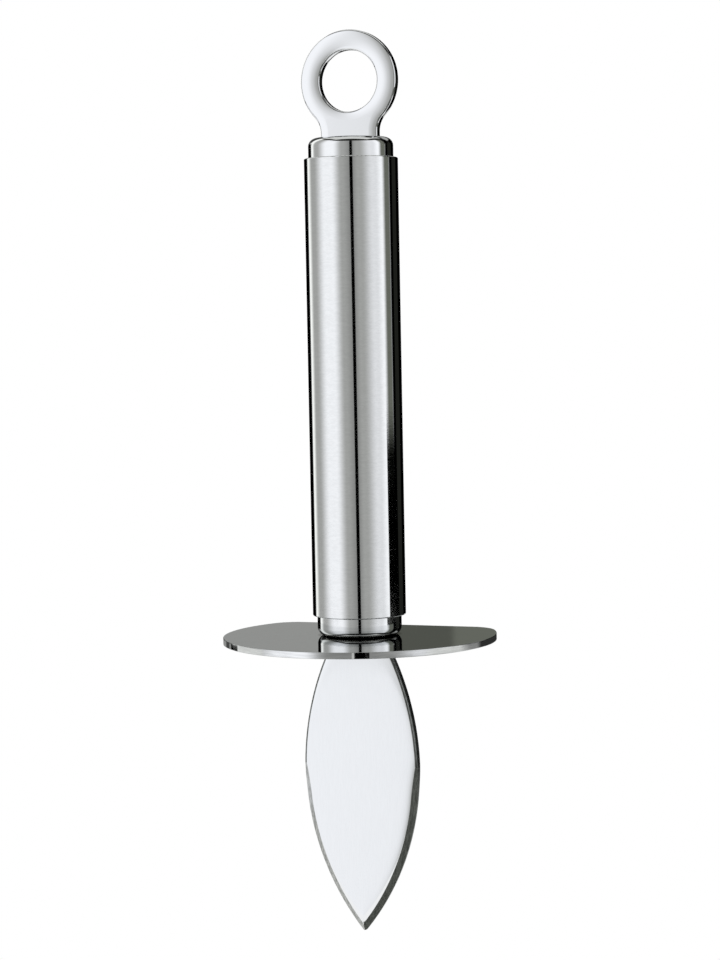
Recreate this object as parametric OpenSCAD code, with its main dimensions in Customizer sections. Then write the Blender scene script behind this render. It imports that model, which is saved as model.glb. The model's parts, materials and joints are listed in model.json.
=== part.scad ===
// Oyster knife, all steel: leaf blade, round hand guard, capped tube handle and hanging ring.
// Millimetres. The origin is the centre of the hanging hole, +Z runs up the handle,
// the blade and the ring lie in the XZ plane, and -Y is the front.

/* [Hanging ring] */
// Outer diameter of the ring
ring_d = 21.5; // [18:0.1:27]
// Diameter of the hanging hole
hole_d = 13; // [8:0.1:15]
// Thickness of the ring's sheet
ring_t = 2.5; // [1.5:0.1:3.5]
// From the ring's rim down to the upper cap
neck_h = 1.25; // [1.2:0.05:8]
// Width of the ring's neck where it stands on the cap
neck_w = 12.8; // [10.6:0.1:14]
// Radius of the hollow curve between the ring and its neck
neck_fillet = 5; // [2:0.1:6]
// Width of the foot that goes through the cap
foot_w = 8; // [5:0.1:9]
// Length of the foot past the cap's inner face
foot_past = 4; // [2:0.5:8]

/* [Handle tube] */
// Outer diameter of the tube
tube_d = 20; // [18:0.1:26]
// Wall of the tube
tube_wall = 0.9; // [0.6:0.05:1.5]
// Length of the tube
tube_l = 97.5; // [70:0.5:130]
// Radius on the tube's outer and inner edges
tube_edge = 0.25; // [0.1:0.05:0.28]

/* [End caps] */
// Gap all round between a cap's skirt and the tube
cap_clear = 0.05; // [0.03:0.01:0.1]
// Height of a cap outside the tube
cap_proud = 4.3; // [3:0.1:8]
// Length of a cap's skirt inside the tube
cap_skirt = 8; // [5:0.5:14]
// Wall of a cap's skirt
cap_wall = 0.8; // [0.6:0.05:1.2]
// Thickness of a cap's end face
cap_end_t = 1; // [0.8:0.05:1.5]
// Outer radius between a cap's side and its end face
cap_round = 1.75; // [1.3:0.05:2.5]

/* [Guard] */
// Diameter of the guard plate
guard_d = 58.8; // [46:0.2:76]
// Thickness of the guard plate
guard_t = 1.4; // [1:0.1:3]
// From the handle's axis to the straight back edge
guard_flat = 17.5; // [14:0.1:21]
// Radius of the two corners beside the straight edge
guard_corner = 7; // [2:0.1:10]

/* [Blade] */
// From the guard's underside to the tip
blade_l = 63.1; // [52:0.1:80]
// Greatest width of the leaf
blade_w = 26; // [22:0.1:30]
// From the guard's underside to the widest place
blade_belly = 28; // [24:0.1:34]
// Width of the leaf at the guard
root_w = 12; // [10:0.1:16]
// Thickness of the blade's sheet
blade_t = 2.5; // [1.5:0.1:3.5]
// Radius of the blunt tip
tip_r = 0.7; // [0.4:0.05:2]
// From the guard's underside to where the grinding starts
bevel_start = 24.5; // [18:0.5:30]
// Length over which the grinding deepens
bevel_run = 4; // [2:0.5:8]
// Width of the ground bevel, seen on the face
bevel_w = 1.25; // [0.6:0.05:3]
// Thickness left at the blunt edge
edge_t = 0.5; // [0.2:0.05:1]
// Width of the tang
tang_w = 8; // [5:0.1:9]
// Length of the tang past the lower cap's inner face
tang_past = 11; // [4:0.5:20]

/* [Slots, welds and braze] */
// Gap all round between a tang or foot and its slot
slot_clear = 0.1; // [0.05:0.05:0.2]
// Radius of the weld beads inside the caps
inner_bead = 1.2; // [0.6:0.1:2]
// Radius of the weld beads under the guard
root_bead = 0.8; // [0.4:0.1:1.2]
// Length of the root beads that is left out at each end
root_bead_inset = 1; // [0.5:0.1:3]
// Leg of the braze rings behind the cap skirts
braze_leg = 0.7; // [0.4:0.1:1]

/* [Hidden] */
$fn = 96;
cut = 1;

// How much larger a rounding circle is than one that only touches its two neighbours,
// so that it crosses them cleanly
ease = 0.005;

// Heights, from the hanging hole down to the tip
z_cap_top = -ring_d / 2 - neck_h;
z_tube_top = z_cap_top - cap_proud;
z_tube_bottom = z_tube_top - tube_l;
z_guard_top = z_tube_bottom - cap_proud;
z_guard_bottom = z_guard_top - guard_t;
z_belly = z_guard_bottom - blade_belly;
z_bevel = z_guard_bottom - bevel_start;
z_tip = z_guard_bottom - blade_l;

// The caps slide into the tube
tube_bore_r = tube_d / 2 - tube_wall;
cap_r = tube_bore_r - cap_clear;
cap_h = cap_proud + cap_skirt;

// The hollow curve touches the ring's rim and the neck's side
fillet_x = neck_w / 2 + neck_fillet;
fillet_z = -sqrt(pow(ring_d / 2 + neck_fillet, 2) - pow(fillet_x, 2));
fillet_turn = atan2(-fillet_z, fillet_x);

// The guard's corners touch its round rim and its straight edge
corner_y = guard_flat - guard_corner;
corner_x = sqrt(pow(guard_d / 2 - guard_corner, 2) - pow(corner_y, 2));
corner_turn = atan2(corner_y, corner_x);

// The tip's round starts this high above the tip, where the leaf is a little narrower than it
tip_start = 0.3 * tip_r;
tip_half = 0.95 * sqrt(pow(tip_r, 2) - pow(tip_r - tip_start, 2));

// Each side of the leaf is two arcs that meet upright at the widest place:
// one runs up to the root, the other down to the start of the tip's round
half_w = blade_w / 2;
root_arc = arc_radius(blade_belly, half_w - root_w / 2);
tip_arc = arc_radius(blade_l - blade_belly - tip_start, half_w - tip_half);
bevel_depth = (blade_t - edge_t) / 2;
bevel_slope = bevel_w / bevel_depth;

// Radius of the arc that starts upright and leans in by that much over that height
function arc_radius(height, lean) = (height * height + lean * lean) / (2 * lean);

// A plate in the XZ plane, centred on it, from a flat shape drawn in X and Z
module upright(thickness) {
    rotate([90, 0, 0])
        linear_extrude(height = thickness, center = true)
            children();
}

// Ring of sheet steel with a flared neck and a foot for the slot in the cap
module hanging_ring() {
    color("#dfe1e4")
        upright(ring_t)
            difference() {
                ring_outline();
                circle(d = hole_d);
            }
}

// The neck narrows from the ring's rim in two hollow curves, then runs straight to the cap
module ring_outline() {
    z_foot = z_cap_top - cap_end_t - foot_past;
    difference() {
        translate([-ring_d, z_foot])
            square([2 * ring_d, ring_d - z_foot]);
        rim_waste();
        for (side = [0, 1])
            mirror([side, 0]) {
                translate([fillet_x, fillet_z])
                    circle(r = neck_fillet + ease);
                translate([neck_w / 2, z_foot - cut])
                    square([2 * ring_d, fillet_z - z_foot + cut]);
                translate([foot_w / 2, z_foot - cut])
                    square([2 * ring_d, z_cap_top - z_foot + cut]);
            }
    }
}

// All outside the ring's rim, above the two places where the hollow curves touch it
module rim_waste() {
    reach = 3 * ring_d;
    side = reach * [cos(fillet_turn), -sin(fillet_turn)];
    difference() {
        polygon([[0, 0], side, [reach, reach], [-reach, reach], [-side[0], side[1]]]);
        circle(d = ring_d);
    }
}

// Half section of a cup with its closed end up at the height h
module cup_half(r, h, corner) {
    square([r - corner, h]);
    square([r, h - corner]);
    translate([r - corner, h - corner])
        circle(r = corner);
}

// Drawn cup with its open mouth at z = 0, and a slot through its end face
module end_cap(slot_w, slot_t) {
    difference() {
        rotate_extrude()
            intersection() {
                difference() {
                    cup_half(cap_r, cap_h, cap_round);
                    translate([0, -cut])
                        cup_half(cap_r - cap_wall, cap_h - cap_end_t + cut, cap_round - cap_wall);
                }
                square([cap_r + cut, cap_h + cut]);
            }
        translate([-slot_w / 2, -slot_t / 2, cap_h - cap_end_t - cut])
            cube([slot_w, slot_t, cap_end_t + 2 * cut]);
    }
}

module upper_end_cap() {
    color("#d2d5d9")
        translate([0, 0, z_tube_top - cap_skirt])
            end_cap(foot_w + 2 * slot_clear, ring_t + 2 * slot_clear);
}

module lower_end_cap() {
    color("#d2d5d9")
        translate([0, 0, z_tube_bottom + cap_skirt])
            mirror([0, 0, 1])
                end_cap(tang_w + 2 * slot_clear, blade_t + 2 * slot_clear);
}

// Seamless tube with its edges broken
module handle_tube() {
    color("#c6cacf")
        translate([0, 0, z_tube_bottom])
            rotate_extrude()
                difference() {
                    translate([tube_bore_r, 0])
                        square([tube_wall, tube_l]);
                    for (end = [0, 1])
                        translate([0, end * tube_l])
                            mirror([0, end])
                                edge_break();
                }
}

// What the round of the tube's outer edge takes away, at the end z = 0
module edge_break() {
    translate([tube_d / 2 - tube_edge, 0])
        difference() {
            translate([0, -cut])
                square([tube_edge + cut, tube_edge + cut]);
            translate([0, tube_edge])
                circle(r = tube_edge);
        }
}

// Round plate with one straight edge at the back and a slot for the tang
module guard_plate() {
    color("#babdbe")
        translate([0, 0, z_guard_bottom])
            linear_extrude(height = guard_t)
                difference() {
                    guard_outline();
                    square([tang_w + 2 * slot_clear, blade_t + 2 * slot_clear], center = true);
                }
}

module guard_outline() {
    difference() {
        intersection() {
            circle(d = guard_d);
            translate([-guard_d, guard_flat - 2 * guard_d])
                square(2 * guard_d);
        }
        for (side = [0, 1])
            mirror([side, 0])
                translate([corner_x, corner_y])
                    corner_waste();
    }
}

// What rounding a corner takes off: all outside its circle, between the two directions
// in which that circle touches the rim and the straight edge
module corner_waste() {
    reach = 3 * guard_corner;
    difference() {
        polygon([[0, 0], reach * [cos(corner_turn), sin(corner_turn)], [reach, reach], [0, reach]]);
        circle(r = guard_corner + ease);
    }
}

// Leaf blade: flat faces, sharp shoulders under the guard and a tang above them
module blade() {
    color("#e4e8ea")
        union() {
            leaf_top();
            leaf_point();
            translate([-tang_w / 2, -blade_t / 2, z_guard_bottom - cut])
                cube([tang_w, blade_t, cut + guard_t + cap_end_t + tang_past]);
        }
}

// The leaf's outline between two arcs of one radius, both upright at the widest place
module leaf_outline(arc_r) {
    intersection_for (side = [-1, 1])
        translate([side * (half_w - arc_r), z_belly])
            circle(r = arc_r, $fn = 360);
}

module leaf_top() {
    difference() {
        upright(blade_t)
            intersection() {
                leaf_outline(root_arc);
                translate([-blade_w, z_belly])
                    square([2 * blade_w, blade_belly]);
            }
        bevels();
    }
}

// Lower half of the leaf, ground on both sides and both faces
module leaf_point() {
    difference() {
        upright(blade_t)
            difference() {
                intersection() {
                    leaf_outline(tip_arc);
                    translate([-blade_w, z_tip - blade_w])
                        square([2 * blade_w, z_belly - z_tip + blade_w]);
                }
                tip_waste();
            }
        bevels();
    }
}

// What rounding takes off the point
module tip_waste() {
    difference() {
        translate([-half_w, z_tip - blade_w])
            square([blade_w, blade_w + tip_start]);
        translate([0, z_tip + tip_r])
            circle(r = tip_r);
    }
}

module bevels() {
    for (side = [-1, 1], face = [-1, 1])
        bevel_waste(side, face);
}

// What grinding takes off one side of one face: all that is outside a cone round the tip
// arc's centre, below a slanted plane where the wheel was let in
module bevel_waste(side, face) {
    reach = 3 * blade_l;
    over = 1;
    depth = blade_t / 2 + over;
    normal = [side * bevel_depth * bevel_run, face * bevel_w * bevel_run, -bevel_w * bevel_depth];
    difference() {
        intersection() {
            translate([side * half_w, face * blade_t / 2, z_bevel])
                rotate([0, acos(normal[2] / norm(normal)), atan2(normal[1], normal[0])])
                    translate([-reach / 2, -reach / 2, 0])
                        cube(reach);
            translate([side > 0 ? 0 : -half_w - over, face > 0 ? 0 : -depth, z_tip - over])
                cube([half_w + over, depth, z_bevel - z_tip + 2 * over]);
        }
        translate([side * (half_w - tip_arc), 0, z_belly])
            rotate([-90 * face, 0, 0])
                cylinder(r1 = tip_arc + bevel_slope * edge_t / 2,
                         r2 = tip_arc - bevel_w - bevel_slope * over, h = depth, $fn = 360);
    }
}

// Two beads in the corners between a plate of the given thickness and the face that it
// goes through, which is at z = 0 with the beads above it
module bead_pair(thickness, bead_r, bead_l) {
    for (side = [-1, 1])
        translate([0, side * thickness / 2, 0])
            intersection() {
                rotate([0, 90, 0])
                    cylinder(r = bead_r, h = bead_l, center = true, $fn = 48);
                translate([-bead_l, side > 0 ? 0 : -2 * bead_r, 0])
                    cube([2 * bead_l, 2 * bead_r, 2 * bead_r]);
            }
}

module ring_weld() {
    color("#9c9790")
        translate([0, 0, z_cap_top - cap_end_t])
            mirror([0, 0, 1])
                bead_pair(ring_t, inner_bead, foot_w);
}

module tang_weld() {
    color("#9c9790")
        translate([0, 0, z_guard_top + cap_end_t])
            bead_pair(blade_t, inner_bead, tang_w);
}

module root_weld() {
    color("#b4b0aa")
        translate([0, 0, z_guard_bottom])
            mirror([0, 0, 1])
                bead_pair(blade_t, root_bead, root_w - 2 * root_bead_inset);
}

// Ring of braze in the corner between the tube's bore and a skirt's end, above z = 0
module seam_braze() {
    rotate_extrude()
        intersection() {
            translate([tube_bore_r, 0])
                circle(r = braze_leg, $fn = 32);
            translate([tube_bore_r - braze_leg, 0])
                square(braze_leg);
        }
}

module upper_seam_braze() {
    color("#b79a5e")
        translate([0, 0, z_tube_top - cap_skirt])
            mirror([0, 0, 1])
                seam_braze();
}

module lower_seam_braze() {
    color("#b79a5e")
        translate([0, 0, z_tube_bottom + cap_skirt])
            seam_braze();
}

hanging_ring();
upper_end_cap();
handle_tube();
lower_end_cap();
guard_plate();
blade();
ring_weld();
tang_weld();
root_weld();
upper_seam_braze();
lower_seam_braze();
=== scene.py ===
import json
import math

import bmesh
import bpy
from mathutils import Matrix, Vector


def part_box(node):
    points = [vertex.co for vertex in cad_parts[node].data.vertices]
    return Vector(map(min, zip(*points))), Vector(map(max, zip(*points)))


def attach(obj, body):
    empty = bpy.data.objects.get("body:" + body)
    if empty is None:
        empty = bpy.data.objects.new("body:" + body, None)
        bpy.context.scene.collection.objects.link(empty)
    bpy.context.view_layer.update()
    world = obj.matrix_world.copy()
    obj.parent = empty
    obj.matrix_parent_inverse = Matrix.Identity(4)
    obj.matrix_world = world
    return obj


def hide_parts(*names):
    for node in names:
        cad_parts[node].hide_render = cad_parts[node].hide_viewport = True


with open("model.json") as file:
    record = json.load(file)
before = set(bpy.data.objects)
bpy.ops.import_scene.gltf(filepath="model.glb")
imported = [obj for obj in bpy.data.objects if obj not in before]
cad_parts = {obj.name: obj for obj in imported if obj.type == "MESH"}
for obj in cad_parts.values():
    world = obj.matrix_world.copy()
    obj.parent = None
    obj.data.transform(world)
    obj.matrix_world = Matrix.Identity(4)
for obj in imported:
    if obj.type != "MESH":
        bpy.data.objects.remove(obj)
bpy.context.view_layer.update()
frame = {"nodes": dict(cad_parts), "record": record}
nodes = frame["nodes"]
MM = 0.001


# Camera
# A long lens level with the lower half of the handle, to the right of the blade's face and
# tilted down a little.
camera_turn = 21.0
camera_distance = 528.4 * MM
camera_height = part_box("guard_plate")[1].z + 67.5 * MM
camera_tilt_down = 3.71
camera_pan = 0.07
camera_roll = -1.09
focal_px = 2469.8
image_height_px = 960
sensor_mm = 36


def around(azimuth, distance, height):
    """Place in the part's frame, with the azimuth in degrees from the front, growing to the right."""
    turn = math.radians(azimuth)
    return Vector((distance * math.sin(turn), -distance * math.cos(turn), height))


def link(name, data):
    thing = bpy.data.objects.new(name, data)
    bpy.context.collection.objects.link(thing)
    return thing


camera = link("camera", bpy.data.cameras.new("camera"))
camera.data.sensor_width = sensor_mm
camera.data.lens = focal_px / image_height_px * sensor_mm
camera.location = around(camera_turn, camera_distance, camera_height)
pan_turn = Matrix.Rotation(math.radians(camera_turn - camera_pan), 3, "Z")
tilt_turn = Matrix.Rotation(math.radians(90 - camera_tilt_down), 3, "X")
roll_turn = Matrix.Rotation(math.radians(camera_roll), 3, "Z")
camera.rotation_euler = (pan_turn @ tilt_turn @ roll_turn).to_euler()
bpy.context.scene.camera = camera
bpy.context.scene.view_settings.view_transform = "Standard"


# Light tent
# White cloth lit from both sides, with a slit for the lens and black flags, as steel is photographed:
# one glowing sphere that the camera doesn't see. Its azimuths grow to the right, from the lens.
tent_r = 60.0


def join(tree, node_type, inputs, **settings):
    """Add a node, set or link its inputs by name or number, and return it."""
    node = tree.nodes.new(node_type)
    for name, value in settings.items():
        setattr(node, name, value)
    for key, value in inputs.items():
        if isinstance(value, bpy.types.NodeSocket):
            tree.links.new(value, node.inputs[key])
        else:
            node.inputs[key].default_value = value
    return node


def new_group(name, inputs, outputs):
    """An empty node group with those sockets, given as (name, kind), and its inputs' outputs."""
    group = bpy.data.node_groups.new(name, "ShaderNodeTree")
    for direction, sockets in (("INPUT", inputs), ("OUTPUT", outputs)):
        for socket, kind in sockets:
            group.interface.new_socket(socket, in_out=direction, socket_type=f"NodeSocket{kind}")
    return group, group.nodes.new("NodeGroupInput").outputs


def soft_step(tree, value, edge, softness, rising):
    """1 on one side of the edge and 0 on the other, with a soft change between."""
    half = join(tree, "ShaderNodeMath", {0: softness, 1: 0.5}, operation="MULTIPLY").outputs[0]
    low = join(tree, "ShaderNodeMath", {0: edge, 1: half}, operation="SUBTRACT").outputs[0]
    high = join(tree, "ShaderNodeMath", {0: edge, 1: half}, operation="ADD").outputs[0]
    ends = {"To Min": 0.0 if rising else 1.0, "To Max": 1.0 if rising else 0.0}
    return join(tree, "ShaderNodeMapRange", {"Value": value, "From Min": low, "From Max": high, **ends},
                interpolation_type="SMOOTHSTEP").outputs[0]


angles = ("Azimuth", "Elevation", "Left", "Right", "Left softness", "Right softness",
          "Low", "High", "Low softness", "High softness")
panel_group, given = new_group("tent_panel", [("Under", "Color"), ("Colour", "Color"),
                               *((name, "Float") for name in angles)], [("Result", "Color")])
mask = soft_step(panel_group, given["Azimuth"], given["Left"], given["Left softness"], True)
for side in (soft_step(panel_group, given["Azimuth"], given["Right"], given["Right softness"], False),
             soft_step(panel_group, given["Elevation"], given["Low"], given["Low softness"], True),
             soft_step(panel_group, given["Elevation"], given["High"], given["High softness"], False)):
    mask = join(panel_group, "ShaderNodeMath", {0: mask, 1: side}, operation="MULTIPLY").outputs[0]
panel_mix = join(panel_group, "ShaderNodeMix", {0: mask, 6: given["Under"], 7: given["Colour"]},
                 data_type="RGBA")
join(panel_group, "NodeGroupOutput", {"Result": panel_mix.outputs[2]})

cloth = bpy.data.materials.new("tent_cloth")
cloth.use_nodes = True
cloth.cycles.emission_sampling = "NONE"
sky = cloth.node_tree
sky.nodes.clear()
guard_level = (0, 0, sum(corner.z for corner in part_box("guard_plate")) / 2)
place = sky.nodes.new("ShaderNodeTexCoord").outputs["Object"]
direction = join(sky, "ShaderNodeVectorMath", {0: place, 1: guard_level}, operation="SUBTRACT").outputs[0]
direction = join(sky, "ShaderNodeVectorMath", {0: direction}, operation="NORMALIZE").outputs[0]
from_lens = join(sky, "ShaderNodeVectorRotate", {"Vector": direction, "Angle": -math.radians(camera_turn)},
                 rotation_type="Z_AXIS").outputs["Vector"]
parts = join(sky, "ShaderNodeSeparateXYZ", {"Vector": from_lens}).outputs
forward = join(sky, "ShaderNodeMath", {0: parts["Y"], 1: -1.0}, operation="MULTIPLY").outputs[0]
azimuth = join(sky, "ShaderNodeMath", {0: parts["X"], 1: forward}, operation="ARCTAN2").outputs[0]
azimuth = join(sky, "ShaderNodeMath", {0: azimuth}, operation="DEGREES").outputs[0]
elevation = join(sky, "ShaderNodeMath", {0: parts["Z"]}, operation="ARCSINE").outputs[0]
slope = join(sky, "ShaderNodeMath", {0: elevation}, operation="TANGENT").outputs[0]
elevation = join(sky, "ShaderNodeMath", {0: elevation}, operation="DEGREES").outputs[0]

# Overhead, directions go by their lean to the side and their lean towards the lens
across = join(sky, "ShaderNodeMath", {0: parts["X"]}, operation="ARCSINE").outputs[0]
across = join(sky, "ShaderNodeMath", {0: across}, operation="DEGREES").outputs[0]
over = join(sky, "ShaderNodeMath", {0: forward, 1: parts["Z"]}, operation="ARCTAN2").outputs[0]
over = join(sky, "ShaderNodeMath", {0: over}, operation="DEGREES").outputs[0]

# Height on the guard's rim that mirrors a direction to the lens
rim_side = join(sky, "ShaderNodeMath", {0: azimuth, 1: math.radians(0.5)}, operation="MULTIPLY").outputs[0]
rim_side = join(sky, "ShaderNodeMath", {0: rim_side}, operation="COSINE").outputs[0]
rim_away = join(sky, "ShaderNodeMath", {0: rim_side, 1: -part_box("guard_plate")[1].x, 2: camera_distance},
                operation="MULTIPLY_ADD").outputs[0]
rim_height = join(sky, "ShaderNodeMath", {0: rim_away, 1: slope, 2: camera_height},
                  operation="MULTIPLY_ADD").outputs[0]

FAR = 200
cloth_level = 0.42
cloth_tint = (0.99, 1.0, 0.97)
lamp_tint = (0.985, 0.995, 1.02)
shade_tint = (0.95, 1.0, 0.85)
tent = join(sky, "ShaderNodeRGB", {}).outputs[0]
tent.default_value = (*(cloth_level * part for part in cloth_tint), 1)


def hang(level, sides, soft_sides, heights=(-100, 100), soft_heights=(1, 1), tint=cloth_tint,
         by=(azimuth, elevation)):
    """Hang a cloth, lamp or flag of that brightness in front of what is there."""
    global tent
    panel = join(sky, "ShaderNodeGroup", {"Under": tent, "Azimuth": by[0], "Elevation": by[1],
                 "Colour": (*(level * part for part in tint), 1)}, node_tree=panel_group)
    for name, value in zip(angles[2:], (*sides, *soft_sides, *heights, *soft_heights)):
        panel.inputs[name].default_value = value
    tent = panel.outputs["Result"]


def mirrored(z):
    """Elevation that an upright face at that height mirrors to the lens."""
    return math.degrees(math.atan2(z - camera_height, camera_distance))


# Lamp behind the left cloth, and two behind the right cloth
hang(1.07, (-87, -37.5), (34, 27), tint=lamp_tint)
hang(0.88, (38, FAR), (32, 1), tint=lamp_tint)
hang(1.12, (70, FAR), (18, 1), tint=lamp_tint)
# White card at the back left, which fades out towards the left cloth
hang(1.15, (-FAR, -113.5), (1, 1))
hang(cloth_level, (-122, -104), (16, 1))
# Cloth beside and behind, with a grey card at the right that ends in black flags
hang(cloth_level, (115, FAR), (10, 1))
hang(cloth_level, (-FAR, -145), (1, 10))
hang(0.16, (85, 106), (13, 4), (-16, 42), (6, 4), shade_tint)
hang(0.0, (106, FAR), (4, 1), (-12, 12), (4, 8))
hang(0.0, (104, 132), (6, 8), (6, 42), (4, 8))
hang(0.0, (130, 178), (8, 3), (-28, 24), (6, 3))
hang(0.0, (81.5, 110), (1, 1), (-12, -2.5), (4, 1))
hang(0.0, (-FAR, -135), (1, 5), (-12, 12), (4, 8))
# Dark cloth high behind, which outlines the ring
hang(0.05, (-FAR, -142), (1, 10), (14, 47), (6, 4))
# What little light the black flags at the right give back
hang(0.016, (118, 137), (3, 3), (-12, 12), (4, 8), shade_tint)
# Below what the rim mirrors, where the blade looks: lamp for its faces, dark for its left side,
# white for its left bevel and a dark cloth for the right one
below_rim = 0.46
down_to_belly = 2.7
blade_looks = mirrored(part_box("guard_plate")[0].z) - below_rim
belly_looks = blade_looks - down_to_belly
hang(1.0, (-80, -37.5), (1, 16), (-24, blade_looks), (6, 0.04), lamp_tint)
hang(0.02, (-FAR, -60), (1, 4), (belly_looks, blade_looks), (0.6, 0.04))
hang(0.72, (-165, -90), (4, 6), (-70, belly_looks), (1, 0.6), lamp_tint)
hang(0.10, (22, 110), (10, 10), (-70, blade_looks), (1, 0.04), shade_tint)
# White card low behind, for the blade's back
hang(0.6, (151, 172), (3, 4), (-18.5, -9.5), (2, 1))
# Backdrop far behind, which only the guard's top face shows: grey on the left, dark on the right
hang(0.34, (-FAR, -174), (1, 2), (5, 11), (1.5, 1.5))
hang(0.10, (174, FAR), (2, 1), (5, 11), (1.5, 1.5), shade_tint)
hang(0.16, (174, 177.8), (2, 0.2), (5, 11), (1.5, 1.5), shade_tint)
# Slit for the lens, with the shade round it
hang(0.26, (-11, 8), (26, 18), (-30, 50))
hang(0.0, (-4, 3.9), (0.8, 0.8), (-40, 60))
# Dark gap between the cloths and the overhead lamp, a strip that lies across
hang(0.02, (-FAR, -50), (1, 30), (47, 100), (6, 1))
hang(0.02, (-60, FAR), (30, 1), (39, 100), (6, 1))
hang(0.7, (-30, 34), (8, 6), (-34, 20), (6, 6), by=(across, over))
# Level with the guard's rim: cloths that darken towards both of its ends, two narrow flags for its
# left end, and the slit. Those in front reach further up, so that the rim's gloss blurs nothing else in.
rim_blur = 0.15 * MM
rim_spare = 1.1 * MM
rim_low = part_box("guard_plate")[0].z
rim_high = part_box("guard_plate")[1].z + rim_blur
at_ends = (rim_low - rim_spare, rim_high)
in_front = (rim_low - rim_spare, rim_high + rim_spare)


def hang_level(level, sides, soft_sides, heights):
    """Hang a cloth or flag that only the guard's rim mirrors."""
    hang(level, sides, soft_sides, heights, (rim_blur, rim_blur), by=(azimuth, rim_height))


hang_level(0.76, (-FAR, -89), (1, 5), at_ends)
hang_level(0.30, (-FAR, -124.5), (1, 1.5), at_ends)
hang_level(0.0, (-138.5, -125), (1.5, 1.5), at_ends)
hang_level(0.07, (-153, -143), (2, 2), at_ends)
hang_level(0.75, (60, FAR), (20, 1), at_ends)
hang_level(0.75, (60, 94), (20, 6), in_front)
hang_level(0.30, (98, FAR), (20, 1), at_ends)
hang_level(0.03, (118, FAR), (9, 1), at_ends)
hang_level(0.26, (-34, 26), (26, 40), in_front)
hang_level(0.6, (-7, -4), (0.6, 0.6), in_front)
hang_level(0.0, (-5, 7.5), (0.6, 0.6), in_front)
glow = join(sky, "ShaderNodeEmission", {"Color": tent})
join(sky, "ShaderNodeOutputMaterial", {"Surface": glow.outputs[0]})

tent_shape = bmesh.new()
bmesh.ops.create_uvsphere(tent_shape, u_segments=48, v_segments=24, radius=tent_r)
tent_mesh = bpy.data.meshes.new("light_tent")
tent_shape.to_mesh(tent_mesh)
tent_shape.free()
light_tent = link("light_tent", tent_mesh)
light_tent.data.materials.append(cloth)
light_tent.visible_camera = False
light_tent.visible_shadow = False


# Studio
# Plain white all round, a pale floor well below the hanging knife that takes its shadow, a black
# cloth and a grey one on it for the blade's ground edges, and two soft lamps for the floor.
floor_z = -0.6
floor_r = 1.5
shaded_floor_r = 0.3 * floor_r
shaded_white = 0.55
laid_cloths = (("black_cloth", 56, 0.85, 0.75, (0.10, 0.105, 0.095)),
               ("grey_cloth", -96, 0.85, 0.6, (0.66, 0.66, 0.65)))
above_floor = 5 * MM
floor_lamps = (("key_lamp", -40, 1.5, 1.2, 34), ("fill_lamp", 75, 1.1, 1.6, 14))
lamp_distance = 1.6

world = bpy.data.worlds.new("white_studio")
world.use_nodes = True
bpy.context.scene.world = world
world.node_tree.nodes["Background"].inputs["Color"].default_value = (1, 1, 1, 1)

pale_floor = bpy.data.materials.new("pale_floor")
pale_floor.use_nodes = True
ground = pale_floor.node_tree
paint = ground.nodes["Principled BSDF"]
paint.inputs["Roughness"].default_value = 0.9
place = ground.nodes.new("ShaderNodeTexCoord").outputs["Object"]
speckle = join(ground, "ShaderNodeTexNoise", {"Vector": place, "Scale": 140.0, "Detail": 3.0}).outputs[0]
speckled = join(ground, "ShaderNodeMix", {0: speckle, 6: (0.84, 0.84, 0.83, 1), 7: (0.88, 0.88, 0.88, 1)},
                data_type="RGBA").outputs[2]
ground.links.new(speckled, paint.inputs["Base Color"])
from_middle = join(ground, "ShaderNodeVectorMath", {0: place, 1: (0, 0, -floor_z)},
                   operation="ADD").outputs[0]
from_middle = join(ground, "ShaderNodeVectorMath", {0: from_middle}, operation="LENGTH").outputs["Value"]
whiter = join(ground, "ShaderNodeMapRange", {"Value": from_middle, "From Min": shaded_floor_r,
              "From Max": floor_r, "To Min": shaded_white, "To Max": 1.0},
              interpolation_type="SMOOTHSTEP").outputs[0]
ray = ground.nodes.new("ShaderNodeLightPath").outputs
seen = join(ground, "ShaderNodeMath", {0: ray["Is Camera Ray"], 1: ray["Is Glossy Ray"]},
            operation="MAXIMUM").outputs[0]
seen = join(ground, "ShaderNodeMath", {0: seen, 1: ray["Is Transmission Ray"]},
            operation="MAXIMUM").outputs[0]
share = join(ground, "ShaderNodeMath", {0: seen, 1: whiter}, operation="MULTIPLY").outputs[0]
white = join(ground, "ShaderNodeEmission", {"Color": (1, 1, 1, 1)}).outputs[0]
mixed = join(ground, "ShaderNodeMixShader", {0: share, 1: paint.outputs[0], 2: white}).outputs[0]
ground.links.new(mixed, ground.nodes["Material Output"].inputs["Surface"])

floor_shape = bmesh.new()
bmesh.ops.create_circle(floor_shape, cap_ends=True, segments=96, radius=floor_r,
                        matrix=Matrix.Translation((0, 0, floor_z)))
floor_mesh = bpy.data.meshes.new("floor")
floor_shape.to_mesh(floor_mesh)
floor_shape.free()
floor = link("floor", floor_mesh)
floor.data.materials.append(pale_floor)

for name, side, distance, half_size, tone in laid_cloths:
    felt = bpy.data.materials.new(name)
    felt.use_nodes = True
    felt.node_tree.nodes["Principled BSDF"].inputs["Base Color"].default_value = (*tone, 1)
    felt.node_tree.nodes["Principled BSDF"].inputs["Roughness"].default_value = 1.0
    sheet = bmesh.new()
    lies_at = Matrix.Translation(around(side, distance, floor_z + above_floor))
    turned = Matrix.Rotation(math.radians(side), 4, "Z")
    bmesh.ops.create_grid(sheet, x_segments=1, y_segments=1, size=half_size, matrix=lies_at @ turned)
    sheet_mesh = bpy.data.meshes.new(name)
    sheet.to_mesh(sheet_mesh)
    sheet.free()
    laid = link(name, sheet_mesh)
    laid.data.materials.append(felt)
    laid.visible_camera = False
    laid.visible_diffuse = False
    laid.visible_shadow = False

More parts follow.
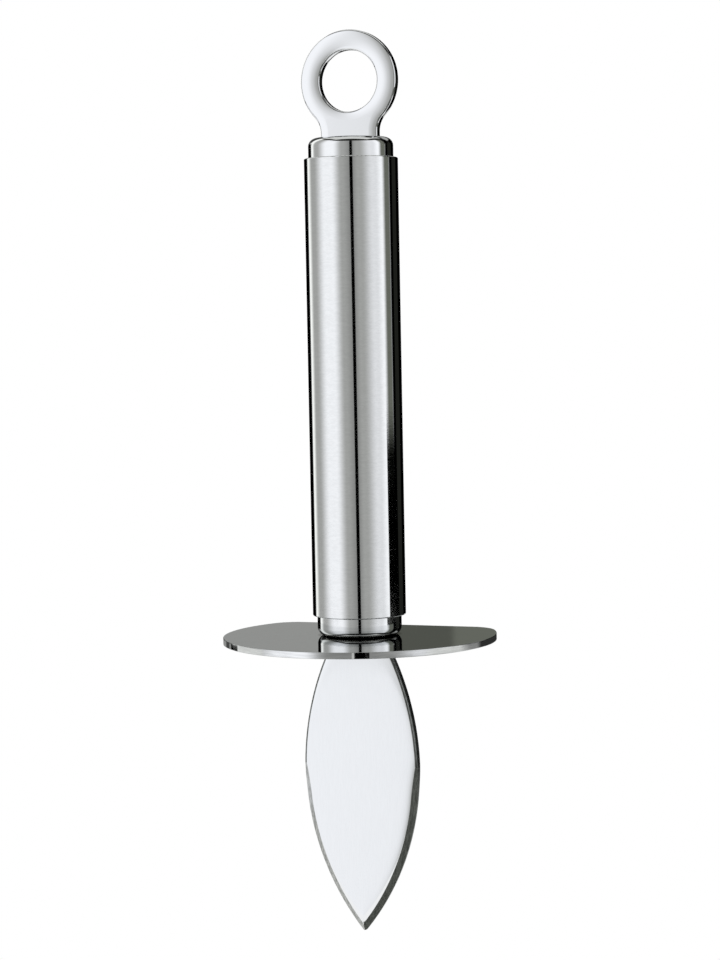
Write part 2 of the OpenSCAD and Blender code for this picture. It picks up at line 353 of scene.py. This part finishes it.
for name, side, height, width, watts in floor_lamps:
    lamp = link(name, bpy.data.lights.new(name, "AREA"))
    lamp.data.size = width
    lamp.data.energy = watts
    lamp.location = around(side, lamp_distance, height)
    lamp.rotation_euler = (Vector((0, 0, floor_z)) - lamp.location).to_track_quat("-Z", "Y").to_euler()
    lamp.visible_glossy = False


# Hanging ring
# Stamped from 2.5 mm stainless sheet and buffed, which rounds its edges and crowns its faces.
# Its neck stands on the upper cap, and its foot goes through the slot there to the weld inside.
ring_low, ring_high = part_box("hanging_ring")
ring_r = ring_high.z
ring_half_t = ring_high.y
foot_z = ring_low.z
cap_top_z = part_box("upper_end_cap")[1].z
hole_r = frame["record"]["mounts"][0]["dims"]["r_mm"] * MM
neck_half = 6.4 * MM
neck_hollow = 5 * MM
neck_spare = 4 * MM
foot_half = 4 * MM
ring_edge_round = 0.45 * MM
ring_crown_slope = 12
ring_crown_fade = 0.8 * MM
ring_crown_reach = 1.55 * MM
weld_gap = 0.002 * MM

haze_group, given = new_group("buffing_haze", [("Vector", "Vector"), ("Scale", "Float")], [("Haze", "Float")])
clouds = join(haze_group, "ShaderNodeTexNoise", {"Vector": given["Vector"], "Scale": given["Scale"],
              "Detail": 4.0, "Roughness": 0.6, "Distortion": 0.4}).outputs[0]
haze = join(haze_group, "ShaderNodeMapRange", {"Value": clouds, "From Min": 0.3, "From Max": 0.7}).outputs[0]
join(haze_group, "NodeGroupOutput", {"Haze": haze})

grain_group, given = new_group("steel_grain", [("Vector", "Vector"), ("Stretch", "Vector")],
                               [("Grain", "Float")])
stretched = join(grain_group, "ShaderNodeVectorMath", {0: given["Vector"], 1: given["Stretch"]},
                 operation="MULTIPLY").outputs[0]
coarse = join(grain_group, "ShaderNodeTexNoise",
              {"Vector": stretched, "Scale": 1.0, "Detail": 2.0}).outputs[0]
fine = join(grain_group, "ShaderNodeTexNoise",
            {"Vector": stretched, "Scale": 2.7, "Detail": 1.0}).outputs[0]
grain = join(grain_group, "ShaderNodeMath", {0: coarse, 1: fine}, operation="ADD").outputs[0]
grain = join(grain_group, "ShaderNodeMapRange", {"Value": grain, "From Min": 0.8, "From Max": 1.2}).outputs[0]
join(grain_group, "NodeGroupOutput", {"Grain": grain})


def steel(name, dark, light, smooth, dull, haze_scale, lines, line_depth):
    """Steel with a cloudy haze in its gloss, and lines whose fineness is given along X, Y and Z."""
    material = bpy.data.materials.new(name)
    material.use_nodes = True
    tree = material.node_tree
    shader = tree.nodes["Principled BSDF"]
    shader.inputs["Metallic"].default_value = 1
    place = tree.nodes.new("ShaderNodeTexCoord").outputs["Object"]
    haze = join(tree, "ShaderNodeGroup", {"Vector": place, "Scale": haze_scale},
                node_tree=haze_group).outputs[0]
    grain = join(tree, "ShaderNodeGroup", {"Vector": place, "Stretch": lines},
                 node_tree=grain_group).outputs[0]
    tones = join(tree, "ShaderNodeMix", {0: grain, 6: (*dark, 1), 7: (*light, 1)},
                 data_type="RGBA").outputs[2]
    tree.links.new(tones, shader.inputs["Base Color"])
    gloss = join(tree, "ShaderNodeMapRange", {"Value": haze, "To Min": smooth, "To Max": dull}).outputs[0]
    tree.links.new(gloss, shader.inputs["Roughness"])
    bump = join(tree, "ShaderNodeBump", {"Height": grain, "Distance": line_depth}).outputs[0]
    tree.links.new(bump, shader.inputs["Normal"])
    return material


def dress(piece, *materials):
    """Give a piece its materials, in place of a CAD node's own."""
    if piece.data.materials:
        piece.data.materials.clear()
    for material in materials:
        piece.data.materials.append(material)


def arc(mesh, start, centre, turn, steps):
    """Sweep a vertex round a centre in the XY plane and return the last one made."""
    made = bmesh.ops.spin(mesh, geom=[start], cent=centre, axis=(0, 0, 1), angle=turn, steps=steps)
    return made["geom_last"][0]


def straight(mesh, start, x, y):
    """Draw an edge from a vertex to a place in the XY plane and return its end."""
    end = bmesh.ops.extrude_vert_indiv(mesh, verts=[start])["verts"][0]
    end.co = (x, y, start.co.z)
    return end


def rounded_edge(radius, last_slope, rounds):
    """Steps inward and upward over a quarter round that stops at that slope, in degrees."""
    steps = []
    last = math.radians(90 - last_slope)
    for i in range(rounds):
        a, b = last * i / rounds, last * (i + 1) / rounds
        steps.append((radius * (math.cos(a) - math.cos(b)), radius * (math.sin(b) - math.sin(a))))
    return steps


def crown(slope, fade, reach, bands):
    """Steps inward and upward over a face that starts at that slope and flattens out."""
    steps = []
    for i in range(bands):
        a, b = reach * (i / bands) ** 1.5, reach * ((i + 1) / bands) ** 1.5
        rise = math.tan(math.radians(slope)) * fade * (math.exp(-a / fade) - math.exp(-b / fade))
        steps.append((b - a, rise))
    return steps


def everything(mesh):
    return mesh.verts[:] + mesh.edges[:] + mesh.faces[:]


def solid_sheet(mesh, half_t, edge_steps):
    """Fill an outline in the XY plane, shape its edges by the steps and give it its thickness."""
    bmesh.ops.triangle_fill(mesh, edges=mesh.edges[:], use_beauty=True)
    bmesh.ops.recalc_face_normals(mesh, faces=mesh.faces[:])
    if mesh.faces[0].normal.z < 0:
        bmesh.ops.reverse_faces(mesh, faces=mesh.faces[:])
    wall = half_t - sum(rise for inset, rise in edge_steps)
    faces = mesh.faces[:]
    bmesh.ops.translate(mesh, verts=mesh.verts[:], vec=(0, 0, wall))
    for inset, rise in edge_steps:
        bmesh.ops.inset_region(mesh, faces=faces, thickness=inset, use_even_offset=True, use_boundary=True)
        bmesh.ops.translate(mesh, verts=list({v for f in faces for v in f.verts}), vec=(0, 0, rise))
    rim = bmesh.ops.extrude_edge_only(mesh, edges=[edge for edge in mesh.edges if edge.is_boundary])["geom"]
    bmesh.ops.translate(mesh, verts=[v for v in rim if isinstance(v, bmesh.types.BMVert)], vec=(0, 0, -wall))
    bmesh.ops.mirror(mesh, geom=everything(mesh), axis="Z", merge_dist=weld_gap)


def add_block(mesh, low, high):
    """Add a block between two corners."""
    size = Vector(high) - Vector(low)
    middle = (Vector(high) + Vector(low)) / 2
    bmesh.ops.create_cube(mesh, size=1, matrix=Matrix.Translation(middle) @ Matrix.Diagonal((*size, 1)))


def finish_piece(name, mesh, node):
    """Turn a bmesh into a smooth-shaded piece that stands for its CAD node."""
    bmesh.ops.recalc_face_normals(mesh, faces=mesh.faces[:])
    for face in mesh.faces:
        face.smooth = True
    data = bpy.data.meshes.new(name)
    mesh.to_mesh(data)
    mesh.free()
    piece = link(name, data)
    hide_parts(node)
    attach(piece, "root")
    return piece


def even_shading(piece):
    """Shade by the large faces, so that flat stays flat beside a rounded edge."""
    weighted = piece.modifiers.new("even_faces", "WEIGHTED_NORMAL")
    weighted.weight = 60
    weighted.keep_sharp = True


ring = bmesh.new()
hollow_x = neck_half + neck_hollow
hollow_y = -math.sqrt((ring_r + neck_hollow) ** 2 - hollow_x ** 2)
hollow_turn = math.atan2(-hollow_y, hollow_x)
top = ring.verts.new((0, ring_r, 0))
side = arc(ring, top, (0, 0, 0), -math.pi / 2 - hollow_turn, 56)
waist = arc(ring, side, (hollow_x, hollow_y, 0), hollow_turn, 12)
corner = straight(ring, waist, neck_half, cap_top_z - neck_spare)
straight(ring, corner, 0, cap_top_z - neck_spare)
bmesh.ops.mirror(ring, geom=ring.verts[:] + ring.edges[:], axis="X", merge_dist=weld_gap)
bmesh.ops.create_circle(ring, segments=112, radius=hole_r)
solid_sheet(ring, ring_half_t, rounded_edge(ring_edge_round, ring_crown_slope, 7)
            + crown(ring_crown_slope, ring_crown_fade, ring_crown_reach, 10))
bmesh.ops.rotate(ring, verts=ring.verts[:], matrix=Matrix.Rotation(math.pi / 2, 3, "X"))
bmesh.ops.bisect_plane(ring, geom=everything(ring), dist=weld_gap, plane_co=(0, 0, cap_top_z),
                       plane_no=(0, 0, -1), clear_outer=True)
cut = [edge for edge in ring.edges if edge.is_boundary]
bmesh.ops.holes_fill(ring, edges=cut)
for edge in cut:
    edge.smooth = False
add_block(ring, (-foot_half, -ring_half_t, foot_z), (foot_half, ring_half_t, cap_top_z))
buffed_ring = finish_piece("buffed_ring", ring, "hanging_ring")
even_shading(buffed_ring)
bright_polish = steel("bright_polish", (0.845, 0.855, 0.87), (0.86, 0.87, 0.885), 0.03, 0.06, 260.0,
                      (1500, 1500, 5200), 0.00004 * MM)
dress(buffed_ring, bright_polish)


# End caps
# Drawn and polished stainless cups with a rounded shoulder. Their skirts sit in the tube's bore,
# and the spinning lathe that polished them left faint lines round them.
cap_polish = steel("cap_polish", (0.83, 0.84, 0.85), (0.86, 0.87, 0.88), 0.055, 0.09, 320.0,
                   (420, 420, 4200), 0.0001 * MM)
dress(nodes["upper_end_cap"], cap_polish)
dress(nodes["lower_end_cap"], cap_polish)


# Handle tube
# Stainless tube, 20 mm across, with a fine ground finish: short lines run round it, which ruffle
# the straight edges of what it mirrors.
ground_tube = steel("ground_tube", (0.775, 0.785, 0.79), (0.835, 0.845, 0.85), 0.04, 0.07, 210.0,
                    (650, 650, 2400), 0.0004 * MM)
dress(nodes["handle_tube"], ground_tube)


# Braze
# Brass-coloured filler that ran in behind each cap's skirt, where the tube hides it.
braze = steel("braze_filler", (0.62, 0.50, 0.28), (0.78, 0.67, 0.42), 0.25, 0.45, 500.0,
              (900, 900, 900), 0.02 * MM)
dress(nodes["upper_seam_braze"], braze)
dress(nodes["lower_seam_braze"], braze)


# Guard
# Round plate of 1.4 mm stainless, straight along part of its back edge. Its faces are polished, with painted
# shade in a ring round the cap's seat on its top, and its rim keeps the lines of its grinding.
guard_low, guard_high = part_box("guard_plate")
guard_r = guard_high.x
guard_flat = guard_high.y
guard_half_t = (guard_high.z - guard_low.z) / 2
guard_corner = 7 * MM
guard_edge_round = 0.09 * MM
rim_lean = 0.1
tang_half = 4 * MM
slot_clear = 0.1 * MM
slot_half = (tang_half + slot_clear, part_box("blade")[1].y + slot_clear)
corner_y = guard_flat - guard_corner
corner_x = math.sqrt((guard_r - guard_corner) ** 2 - corner_y ** 2)
corner_start = math.atan2(corner_y, corner_x)

guard = bmesh.new()
front = guard.verts.new((0, -guard_r, 0))
rim_end = arc(guard, front, (0, 0, 0), math.pi / 2 + corner_start, 110)
corner_end = arc(guard, rim_end, (corner_x, corner_y, 0), math.pi / 2 - corner_start, 18)
straight(guard, corner_end, 0, guard_flat)
bmesh.ops.mirror(guard, geom=guard.verts[:] + guard.edges[:], axis="X", merge_dist=weld_gap)
slot_edges = bmesh.ops.create_grid(guard, x_segments=1, y_segments=1, size=1,
                                   matrix=Matrix.Diagonal((*slot_half, 1, 1)))["verts"]
bmesh.ops.delete(guard, geom=list({f for v in slot_edges for f in v.link_faces}), context="FACES_ONLY")
solid_sheet(guard, guard_half_t, rounded_edge(guard_edge_round, 0, 5))
bmesh.ops.translate(guard, verts=guard.verts[:], vec=(0, 0, guard_low.z + guard_half_t))
for face in guard.faces:
    face.material_index = 1 if abs(face.normal.z) < rim_lean else 0
for edge in guard.edges:
    edge.smooth = len({face.material_index for face in edge.link_faces}) == 1
polished_guard = finish_piece("polished_guard", guard, "guard_plate")
even_shading(polished_guard)
guard_polish = steel("guard_polish", (0.62, 0.635, 0.64), (0.66, 0.675, 0.68), 0.03, 0.07, 120.0,
                     (900, 900, 900), 0.00006 * MM)

# Painted shade: a dark ring on the top round the cap's seat, where the cap meets the guard. Distances along Z
# count more, so that the underside has none
painted_shade_r = 8.9 * MM
painted_shade_fade = 0.3 * MM
painted_shade_tone = (0.12, 0.12, 0.11, 1)
z_stretch = 10
tree = guard_polish.node_tree
bright = tree.nodes["Principled BSDF"].inputs["Base Color"].links[0].from_socket
place = tree.nodes.new("ShaderNodeTexCoord").outputs["Object"]
from_top = join(tree, "ShaderNodeVectorMath", {0: place, 1: (1, 1, z_stretch),
                2: (0, 0, -z_stretch * guard_high.z)}, operation="MULTIPLY_ADD").outputs[0]
from_middle = join(tree, "ShaderNodeVectorMath", {0: from_top}, operation="LENGTH").outputs["Value"]
beyond_painted_shade = join(tree, "ShaderNodeMapRange", {"Value": from_middle, "From Min": painted_shade_r - painted_shade_fade,
               "From Max": painted_shade_r + painted_shade_fade}).outputs[0]
tones = join(tree, "ShaderNodeMix", {0: beyond_painted_shade, 6: painted_shade_tone, 7: bright}, data_type="RGBA").outputs[2]
tree.links.new(tones, tree.nodes["Principled BSDF"].inputs["Base Color"])
rim_grind = steel("rim_grind", (0.72, 0.73, 0.74), (0.88, 0.89, 0.90), 0.02, 0.035, 300.0,
                  (160, 160, 3600), 0.00001 * MM)
dress(polished_guard, guard_polish, rim_grind)


# Blade
# Leaf of 2.5 mm stainless sheet, polished on both faces. Its sides are rounded above and ground from
# both faces to a blunt edge below, and its tang goes up through the guard and the lower cap.
blade_low, blade_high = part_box("blade")
half_leaf = blade_high.x
half_t = blade_high.y
tip_z = blade_low.z
root_z = guard_low.z
belly_z = root_z - 28 * MM
root_half = 6 * MM
tip_round = 0.7 * MM
tip_share = 0.3
tip_narrowing = 0.95
grind_start = root_z - 24.5 * MM
grind_run = 9 * MM
grind_w = 1.25 * MM
blunt_half_t = 0.25 * MM
side_round = 0.5 * MM
face_tilt = 6
face_fade = 0.75 * MM
broken_edge = 0.07 * MM
tip_start_z = tip_z + tip_share * tip_round
tip_start_half = tip_narrowing * math.sqrt(tip_round ** 2 - ((1 - tip_share) * tip_round) ** 2)


def arc_radius(height, lean):
    """Radius of the arc that starts upright and leans in by that much over that height."""
    return (height ** 2 + lean ** 2) / (2 * lean)


root_arc = arc_radius(root_z - belly_z, half_leaf - root_half)
tip_arc = arc_radius(belly_z - tip_start_z, half_leaf - tip_start_half)


def inside_arc(z, inset):
    """Half width of the leaf at a height, at that distance in from its side's arc."""
    radius = root_arc if z > belly_z else tip_arc
    reach = (radius - inset) ** 2 - (z - belly_z) ** 2
    return max(half_leaf - radius + math.sqrt(max(reach, 0)), 0)


def inset_at(x, z):
    """Distance from a place on the leaf to its side's arc."""
    radius = root_arc if z > belly_z else tip_arc
    return radius - math.hypot(x - (half_leaf - radius), z - belly_z)


def outline_half(z):
    """Half width of the leaf at a height, with the tip's round."""
    half = inside_arc(z, 0)
    if z < tip_start_z:
        half = min(half, math.sqrt(max(tip_round ** 2 - (z - tip_z - tip_round) ** 2, 0)))
    return half


def grind_at(z):
    """Width of the ground bevel at a height, which runs out in a curve at its upper end."""
    return grind_w * math.sin(math.pi / 2 * min(max((grind_start - z) / grind_run, 0), 1))


def face_at(inset, z):
    """Half thickness of the leaf where the polished face or its rounded side is left."""
    fall = math.tan(math.radians(face_tilt)) * face_fade * math.exp(-max(inset - grind_at(z), 0) / face_fade)
    gap = max(side_round - inset, 0)
    return half_t - fall - side_round + math.sqrt(side_round ** 2 - gap ** 2)


def half_thickness(x, z):
    """Half thickness of the leaf at a place: the face, or the bevel ground into it."""
    inset = max(inset_at(x, z), 0)
    grind = grind_at(z)
    if inset >= grind:
        return face_at(inset, z)
    crease = half_t - math.tan(math.radians(face_tilt)) * face_fade
    slope = (crease - blunt_half_t) / grind_w
    return min(face_at(inset, z), crease - slope * (grind - inset))


# Rows from the guard to the tip, which close up over the tip's round
leaf_rows = 110
tip_rows = 8
tip_turn = math.acos(1 - tip_share)
rows = [root_z + (tip_start_z - root_z) * i / leaf_rows for i in range(leaf_rows + 1)]
rows += [tip_z + tip_round * (1 - math.cos(tip_turn * i / tip_rows)) for i in reversed(range(tip_rows))]

# Columns from the middle: over the face, closer towards the crease, and over the bevel or rounded side
inner_shares = [0, 0.2, 0.4, 0.6, 0.75, 0.87, 0.95]
bands = [band * MM for band in (3.2, 2.4, 1.8, 1.4, 1.05, 0.75, 0.5, 0.32, 0.18, 0.08, 0)]
round_shares = [1 - math.cos(math.radians(90 - 15 * i)) for i in range(1, 7)]
columns = len(inner_shares) + len(bands) + len(round_shares) + 1
leaf = bmesh.new()
bmesh.ops.create_grid(leaf, x_segments=len(rows) - 1, y_segments=columns - 1, size=1)
in_order = sorted(leaf.verts, key=lambda v: (round(v.co.x, 6), round(v.co.y, 6)))
for i, z in enumerate(rows):
    half = outline_half(z)
    crease = max(grind_at(z), side_round)
    xs = [share * inside_arc(z, crease + bands[0]) for share in inner_shares]
    xs += [inside_arc(z, crease + band) for band in bands]
    xs += [inside_arc(z, crease * share) for share in round_shares]
    line = in_order[i * columns:(i + 1) * columns]
    for vert, x in zip(line, xs):
        x = min(x, half)
        vert.co = (x, -half_thickness(x, z), z)
    line[-2].co = (half, -half_thickness(half, z), z)
    line[-1].co = (half, 0, z)
crease_column = len(inner_shares) + len(bands) - 1
column_of = {vert: i % columns for i, vert in enumerate(in_order)}
for face in leaf.faces:
    first = min(column_of[vert] for vert in face.verts)
    if first >= crease_column:
        ground = grind_at(face.calc_center_median().z) > side_round and first < columns - 2
        face.material_index = 2 if ground else 1
bmesh.ops.remove_doubles(leaf, verts=leaf.verts[:], dist=weld_gap)
bmesh.ops.dissolve_degenerate(leaf, edges=leaf.edges[:], dist=weld_gap / 2)
bmesh.ops.mirror(leaf, geom=everything(leaf), axis="X", merge_dist=weld_gap)
bmesh.ops.mirror(leaf, geom=everything(leaf), axis="Y", merge_dist=weld_gap)
cut = [edge for edge in leaf.edges if edge.is_boundary]
bmesh.ops.holes_fill(leaf, edges=cut)
for edge in cut:
    edge.smooth = False
add_block(leaf, (-tang_half, -half_t, root_z), (tang_half, half_t, blade_high.z))
leaf_blade = finish_piece("leaf_blade", leaf, "blade")
break_edges = leaf_blade.modifiers.new("broken_edges", "BEVEL")
break_edges.width = broken_edge
break_edges.segments = 2
break_edges.limit_method = "ANGLE"
break_edges.angle_limit = math.radians(24)
break_edges.use_clamp_overlap = True
even_shading(leaf_blade)
blade_polish = steel("blade_polish", (0.85, 0.862, 0.875), (0.865, 0.877, 0.89), 0.04, 0.075, 150.0,
                     (2600, 2600, 260), 0.00005 * MM)
side_grind = steel("side_grind", (0.16, 0.17, 0.16), (0.32, 0.33, 0.32), 0.30, 0.40, 260.0,
                   (2300, 2300, 320), 0.003 * MM)
bevel_grind = steel("bevel_grind", (0.40, 0.41, 0.40), (0.80, 0.81, 0.80), 0.15, 0.22, 260.0,
                    (2300, 2300, 260), 0.003 * MM)
dress(leaf_blade, blade_polish, side_grind, bevel_grind)


# Welds
# Stainless filler in the corners at the ring's foot, at the tang and at the blade's root, left as
# laid, with its ripples. Only the root's small beads can be seen, from below the guard.
weld_bead = steel("weld_bead", (0.48, 0.46, 0.44), (0.68, 0.66, 0.63), 0.28, 0.5, 700.0,
                  (3000, 400, 400), 0.03 * MM)
for name in ("ring_weld", "tang_weld", "root_weld"):
    dress(nodes[name], weld_bead)
